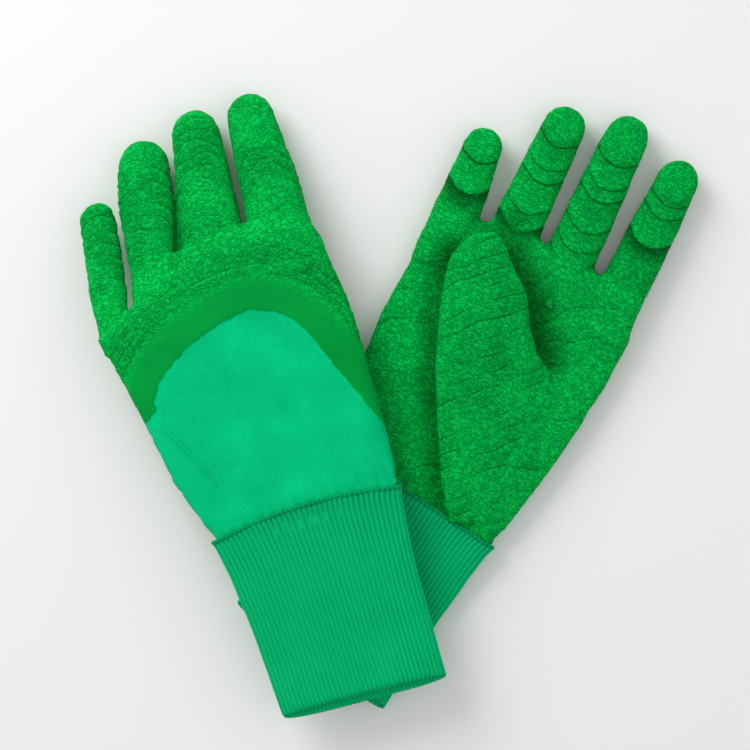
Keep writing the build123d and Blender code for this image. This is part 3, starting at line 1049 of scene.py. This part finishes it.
def rib_tube(place, name, insets, start, rows, depth, phase=0.0):
    """A closed wall of rib knit: down the outside, round the hem and back up the inside."""
    segments = sizes().rib_count * sizes().rib_steps
    last = CUFFS[place.side][-1][0]
    outer, inner = insets
    bm = bmesh.new()
    downs = list(np.linspace(start, last, rows))
    hem = [(last + 0.5, 0.25), (last + 0.75, 0.5), (last + 0.5, 0.75)]
    path = [(d, 0.0) for d in downs] + hem + [(d, 1.0) for d in downs[::-3]]
    rings = [cuff_ring(place, d, outer + (inner - outer) * s, segments) for d, s in path]
    ring_loft(bm, rings, segments, closed_ends=False)
    open_edges = [e for e in bm.edges if e.is_boundary]
    bmesh.ops.bridge_loops(bm, edges=open_edges)
    bmesh.ops.recalc_face_normals(bm, faces=bm.faces)
    tube = mesh_object(name, bm)
    mesh = tube.data
    p, normals = read(mesh)
    row, ring = np.divmod(np.arange(len(p)), segments)
    down, inside = np.array(path)[np.minimum(row, len(path) - 1)].T
    turn = ring / sizes().rib_steps
    spread = 1 + 0.5 * np.exp(-np.maximum(down, 0) / 7.0)
    wander = 0.16 * noise_at(p, 16.0, 31)
    rib = np.abs(np.sin(math.pi * (turn + wander + phase))) ** 0.8
    lift = (rib - 0.6) * depth * spread * (1 - 0.35 * inside)
    soft = 0.7 * noise_at(p, 24.0, 33) + 0.3 * noise_at(p, 7.0, 34)
    write(mesh, p + normals * (lift + 0.5 * soft * (1 - inside))[:, None])
    # fold is painted shade: the rib knit is darker down between its ribs.
    store(mesh, "fold", np.clip(rib * 2 - 1, -1, 1))
    corners = fetch(mesh.loops, "vertex_index", 1, int)
    uv = np.column_stack([turn[corners], down[corners] / KNIT_ROW])
    mesh.uv_layers.new(name="knit").data.foreach_set("uv", uv.ravel())
    set_down(place, tube)
    dress(tube, "rib")
    return tube


def fold_across(place, piece):
    """Finds points either side of the cuff's fold behind the wrist seam, and bakes a cuff piece's
    transform.
    """
    spot = place.inward(joint(f"{place.side}_cuff_fold")["pos_m"])
    reach = Vector((0, CUFF_BEND_REACH, 0))
    start, end = place.out(*(spot + reach)), place.out(*(spot - reach))
    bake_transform(piece)


def make_cuff(place):
    side = place.side
    depth = sizes().rib_depth / MM
    rib = rib_tube(place, f"{side}_rib_outer", (0.0, 1.0), -0.5, CUFF_ROWS, depth)
    fold_across(place, rib)
    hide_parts(f"{side}_cuff_rib", f"{side}_cuff_collar")
    lining = rib_tube(place, f"{side}_rib_lining", (1.5, 2.3), 1.5, CUFF_ROWS // 2, depth * 0.5, 0.5)
    fold_across(place, lining)
    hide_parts(f"{side}_cuff_lining")


# Seams ----------------------------------------------------------------------------------


GORE = [(-43.0, 60.0), (-41.0, 54.5), (-37.8, 47.0), (-34.8, 39.5), (-32.0, 31.8), (-30.6, 26.0)]
GORE_STEPS = 40
GORE_SIZE = 0.62
GORE_RISE = 0.2
# The wrist seam's section, as (distance down the cuff, height), and its points and knots round the cuff.
SEAM_PROFILE = [(-0.9, -0.5), (-0.7, 0.25), (0.0, 0.55), (0.7, 0.25), (0.9, -0.5)]
SEAM_POINTS = 360
SEAM_KNOTS = 90
ALL_COTTON = -20.0  # a distance to the latex's edge that is well inside the bare cotton


def make_wrist_seam(place):
    """The overlocked ridge where the cuff is sewn to the hand."""
    bm = bmesh.new()
    rings = [cuff_ring(place, d + 0.2, -out, SEAM_POINTS) for d, out in SEAM_PROFILE]
    ring_loft(bm, rings, SEAM_POINTS, closed_ends=False)
    bmesh.ops.bridge_loops(bm, edges=[e for e in bm.edges if e.is_boundary])
    bmesh.ops.recalc_face_normals(bm, faces=bm.faces)
    seam = mesh_object(f"{place.side}_overlock_seam", bm)
    p, normals = read(seam.data)
    turn = (np.arange(len(p)) % SEAM_POINTS) / SEAM_POINTS
    knots = np.sin(turn * 2 * math.pi * SEAM_KNOTS)
    write(seam.data, p + normals * (0.16 * knots + 0.1 * noise_at(p, 3.0, 41))[:, None])
    # fold is painted shade: the thread is darker between its knots.
    store(seam.data, "fold", np.clip(knots, -1, 1))
    set_down(place, seam)
    dress(seam, "thread")
    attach(seam, f"{place.side}_hand")
    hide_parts(f"{place.side}_wrist_seam")


def make_gore_seam(place):
    """The narrow sewn ridge that runs down the back from the little finger's side."""
    shape = HANDS[place.side]
    cotton = bpy.data.objects[f"{place.side}_cotton_back"]
    side = -place.palm
    rings = []
    line = np.array(GORE)
    share = np.linspace(0, 1, len(line))
    for s in np.linspace(0, 1, GORE_STEPS):
        x, y = np.interp(s, share, line[:, 0]), np.interp(s, share, line[:, 1])
        middle = float(along(shape["middle"], y))
        high = place.out(x, y, middle + side * 40)
        hit, spot, _, _ = cotton.ray_cast(high, Vector((0, 0, -side)))
        if not hit:
            continue
        size = GORE_SIZE * math.sin(math.pi * min(max(s, 0.03), 0.97)) ** 0.4
        spot = place.inward(spot) + Vector((0, 0, side * GORE_RISE))
        rings.append(oval(spot, Vector((0.92, 0.39, 0)), size * 1.2, size * 0.8, 10, 2.0))
    if len(rings) < 8:
        raise RuntimeError("the gore seam found no cotton under it")
    bm = bmesh.new()
    ring_loft(bm, rings, 10)
    bmesh.ops.recalc_face_normals(bm, faces=bm.faces)
    seam = mesh_object(f"{place.side}_gore_ridge", bm)
    store(seam.data, "dip", np.full(len(seam.data.vertices), ALL_COTTON))
    set_down(place, seam)
    dress(seam, "cotton")
    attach(seam, f"{place.side}_hand")
    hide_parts(f"{place.side}_gore_seam")


# Stage ----------------------------------------------------------------------------------


CAMERA_SHIFT = (-0.0073, 0.0123)  # from the middle of the part
CAMERA_HEIGHT = 0.915
FLOOR_DROP = 0.0002  # keeps the floor clear of the gloves' undersides
WORLD_STRENGTH = 0.66


def add_light(name, energy, size, spot):
    """Adds a square light that faces the middle of the stage."""
    lamp = bpy.data.lights.new(name, "AREA")
    lamp.energy, lamp.size = energy, size
    made = bpy.data.objects.new(name, lamp)
    made.location = spot
    made.rotation_euler = (-Vector(spot)).to_track_quat("-Z", "Y").to_euler()
    bpy.context.scene.collection.objects.link(made)


def make_stage():
    bm = bmesh.new()
    bmesh.ops.create_grid(bm, x_segments=1, y_segments=1, size=3.0)
    floor = mesh_object("floor", bm)
    floor.location.z = -FLOOR_DROP
    look, _, bsdf, _ = new_material("pale floor", 0.9, 0.1)
    bsdf.inputs["Base Color"].default_value = (*colours().floor, 1)
    floor.data.materials.append(look)

    world = bpy.data.worlds.new("soft studio")
    world.use_nodes = True
    sky = world.node_tree.nodes["Background"]
    sky.inputs[0].default_value = (1, 1, 1, 1)
    sky.inputs[1].default_value = WORLD_STRENGTH
    bpy.context.scene.world = world
    add_light("key", 12.0, 0.8, (-0.75, 0.85, 0.75))
    add_light("fill", 2.0, 1.2, (0.9, -0.3, 1.1))

    camera = bpy.data.objects.new("camera", bpy.data.cameras.new("camera"))
    camera.data.lens = 100
    camera.data.sensor_width = 36
    low, high = CAD_BOX
    middle = (Vector(low) + Vector(high)) / 2
    camera.location = (middle.x + CAMERA_SHIFT[0], middle.y + CAMERA_SHIFT[1], CAMERA_HEIGHT)
    bpy.context.scene.collection.objects.link(camera)
    bpy.context.scene.camera = camera
    bpy.context.scene.view_settings.view_transform = "Standard"


# Operators, panel and run ---------------------------------------------------------------


class GLOVES_OT_materials(bpy.types.Operator):
    """Makes the latex, cotton, rib and thread materials"""

    bl_idname = "gloves.materials"
    bl_label = "Glove Materials"

    def execute(self, context):
        make_materials()
        return {"FINISHED"}


class GLOVES_OT_hands(bpy.types.Operator):
    """Makes each glove's dipped hand, bare back and digits"""

    bl_idname = "gloves.hands"
    bl_label = "Dipped Hands"

    def execute(self, context):
        for place in (RIGHT, LEFT):
            make_hand(place)
        return {"FINISHED"}


class GLOVES_OT_cuffs(bpy.types.Operator):
    """Makes each glove's folded rib-knit cuff"""

    bl_idname = "gloves.cuffs"
    bl_label = "Rib Cuffs"

    def execute(self, context):
        for place in (RIGHT, LEFT):
            make_cuff(place)
        return {"FINISHED"}


class GLOVES_OT_seams(bpy.types.Operator):
    """Makes the wrist and gore seams"""

    bl_idname = "gloves.seams"
    bl_label = "Seams"

    def execute(self, context):
        for place in (RIGHT, LEFT):
            make_wrist_seam(place)
            make_gore_seam(place)
        return {"FINISHED"}


class GLOVES_OT_stage(bpy.types.Operator):
    """Makes the floor, the lights and the camera"""

    bl_idname = "gloves.stage"
    bl_label = "Studio Stage"

    def execute(self, context):
        make_stage()
        return {"FINISHED"}


OPERATORS = (GLOVES_OT_materials, GLOVES_OT_hands, GLOVES_OT_cuffs, GLOVES_OT_seams, GLOVES_OT_stage)


class GLOVES_PT_panel(bpy.types.Panel):
    """Lists the steps that make the gloves"""

    bl_idname = "GLOVES_PT_panel"
    bl_label = "Gardening Gloves"
    bl_space_type = "VIEW_3D"
    bl_region_type = "UI"
    bl_category = "Gloves"

    def draw(self, context):
        for group in (context.scene.glove_sizes, context.scene.glove_colours):
            for key in group.__annotations__:
                self.layout.prop(group, key)
        for operator in OPERATORS:
            self.layout.operator(operator.bl_idname)


CLASSES = (GloveSizes, GloveColours, *OPERATORS, GLOVES_PT_panel)


def register():
    for cls in CLASSES:
        bpy.utils.register_class(cls)
    bpy.types.Scene.glove_sizes = bpy.props.PointerProperty(type=GloveSizes)
    bpy.types.Scene.glove_colours = bpy.props.PointerProperty(type=GloveColours)


def unregister():
    del bpy.types.Scene.glove_colours
    del bpy.types.Scene.glove_sizes
    for cls in reversed(CLASSES):
        bpy.utils.unregister_class(cls)


def main():
    register()
    for operator in OPERATORS:
        family, step = operator.bl_idname.split(".")
        getattr(getattr(bpy.ops, family), step)()


if __name__ == "__main__":
    main()
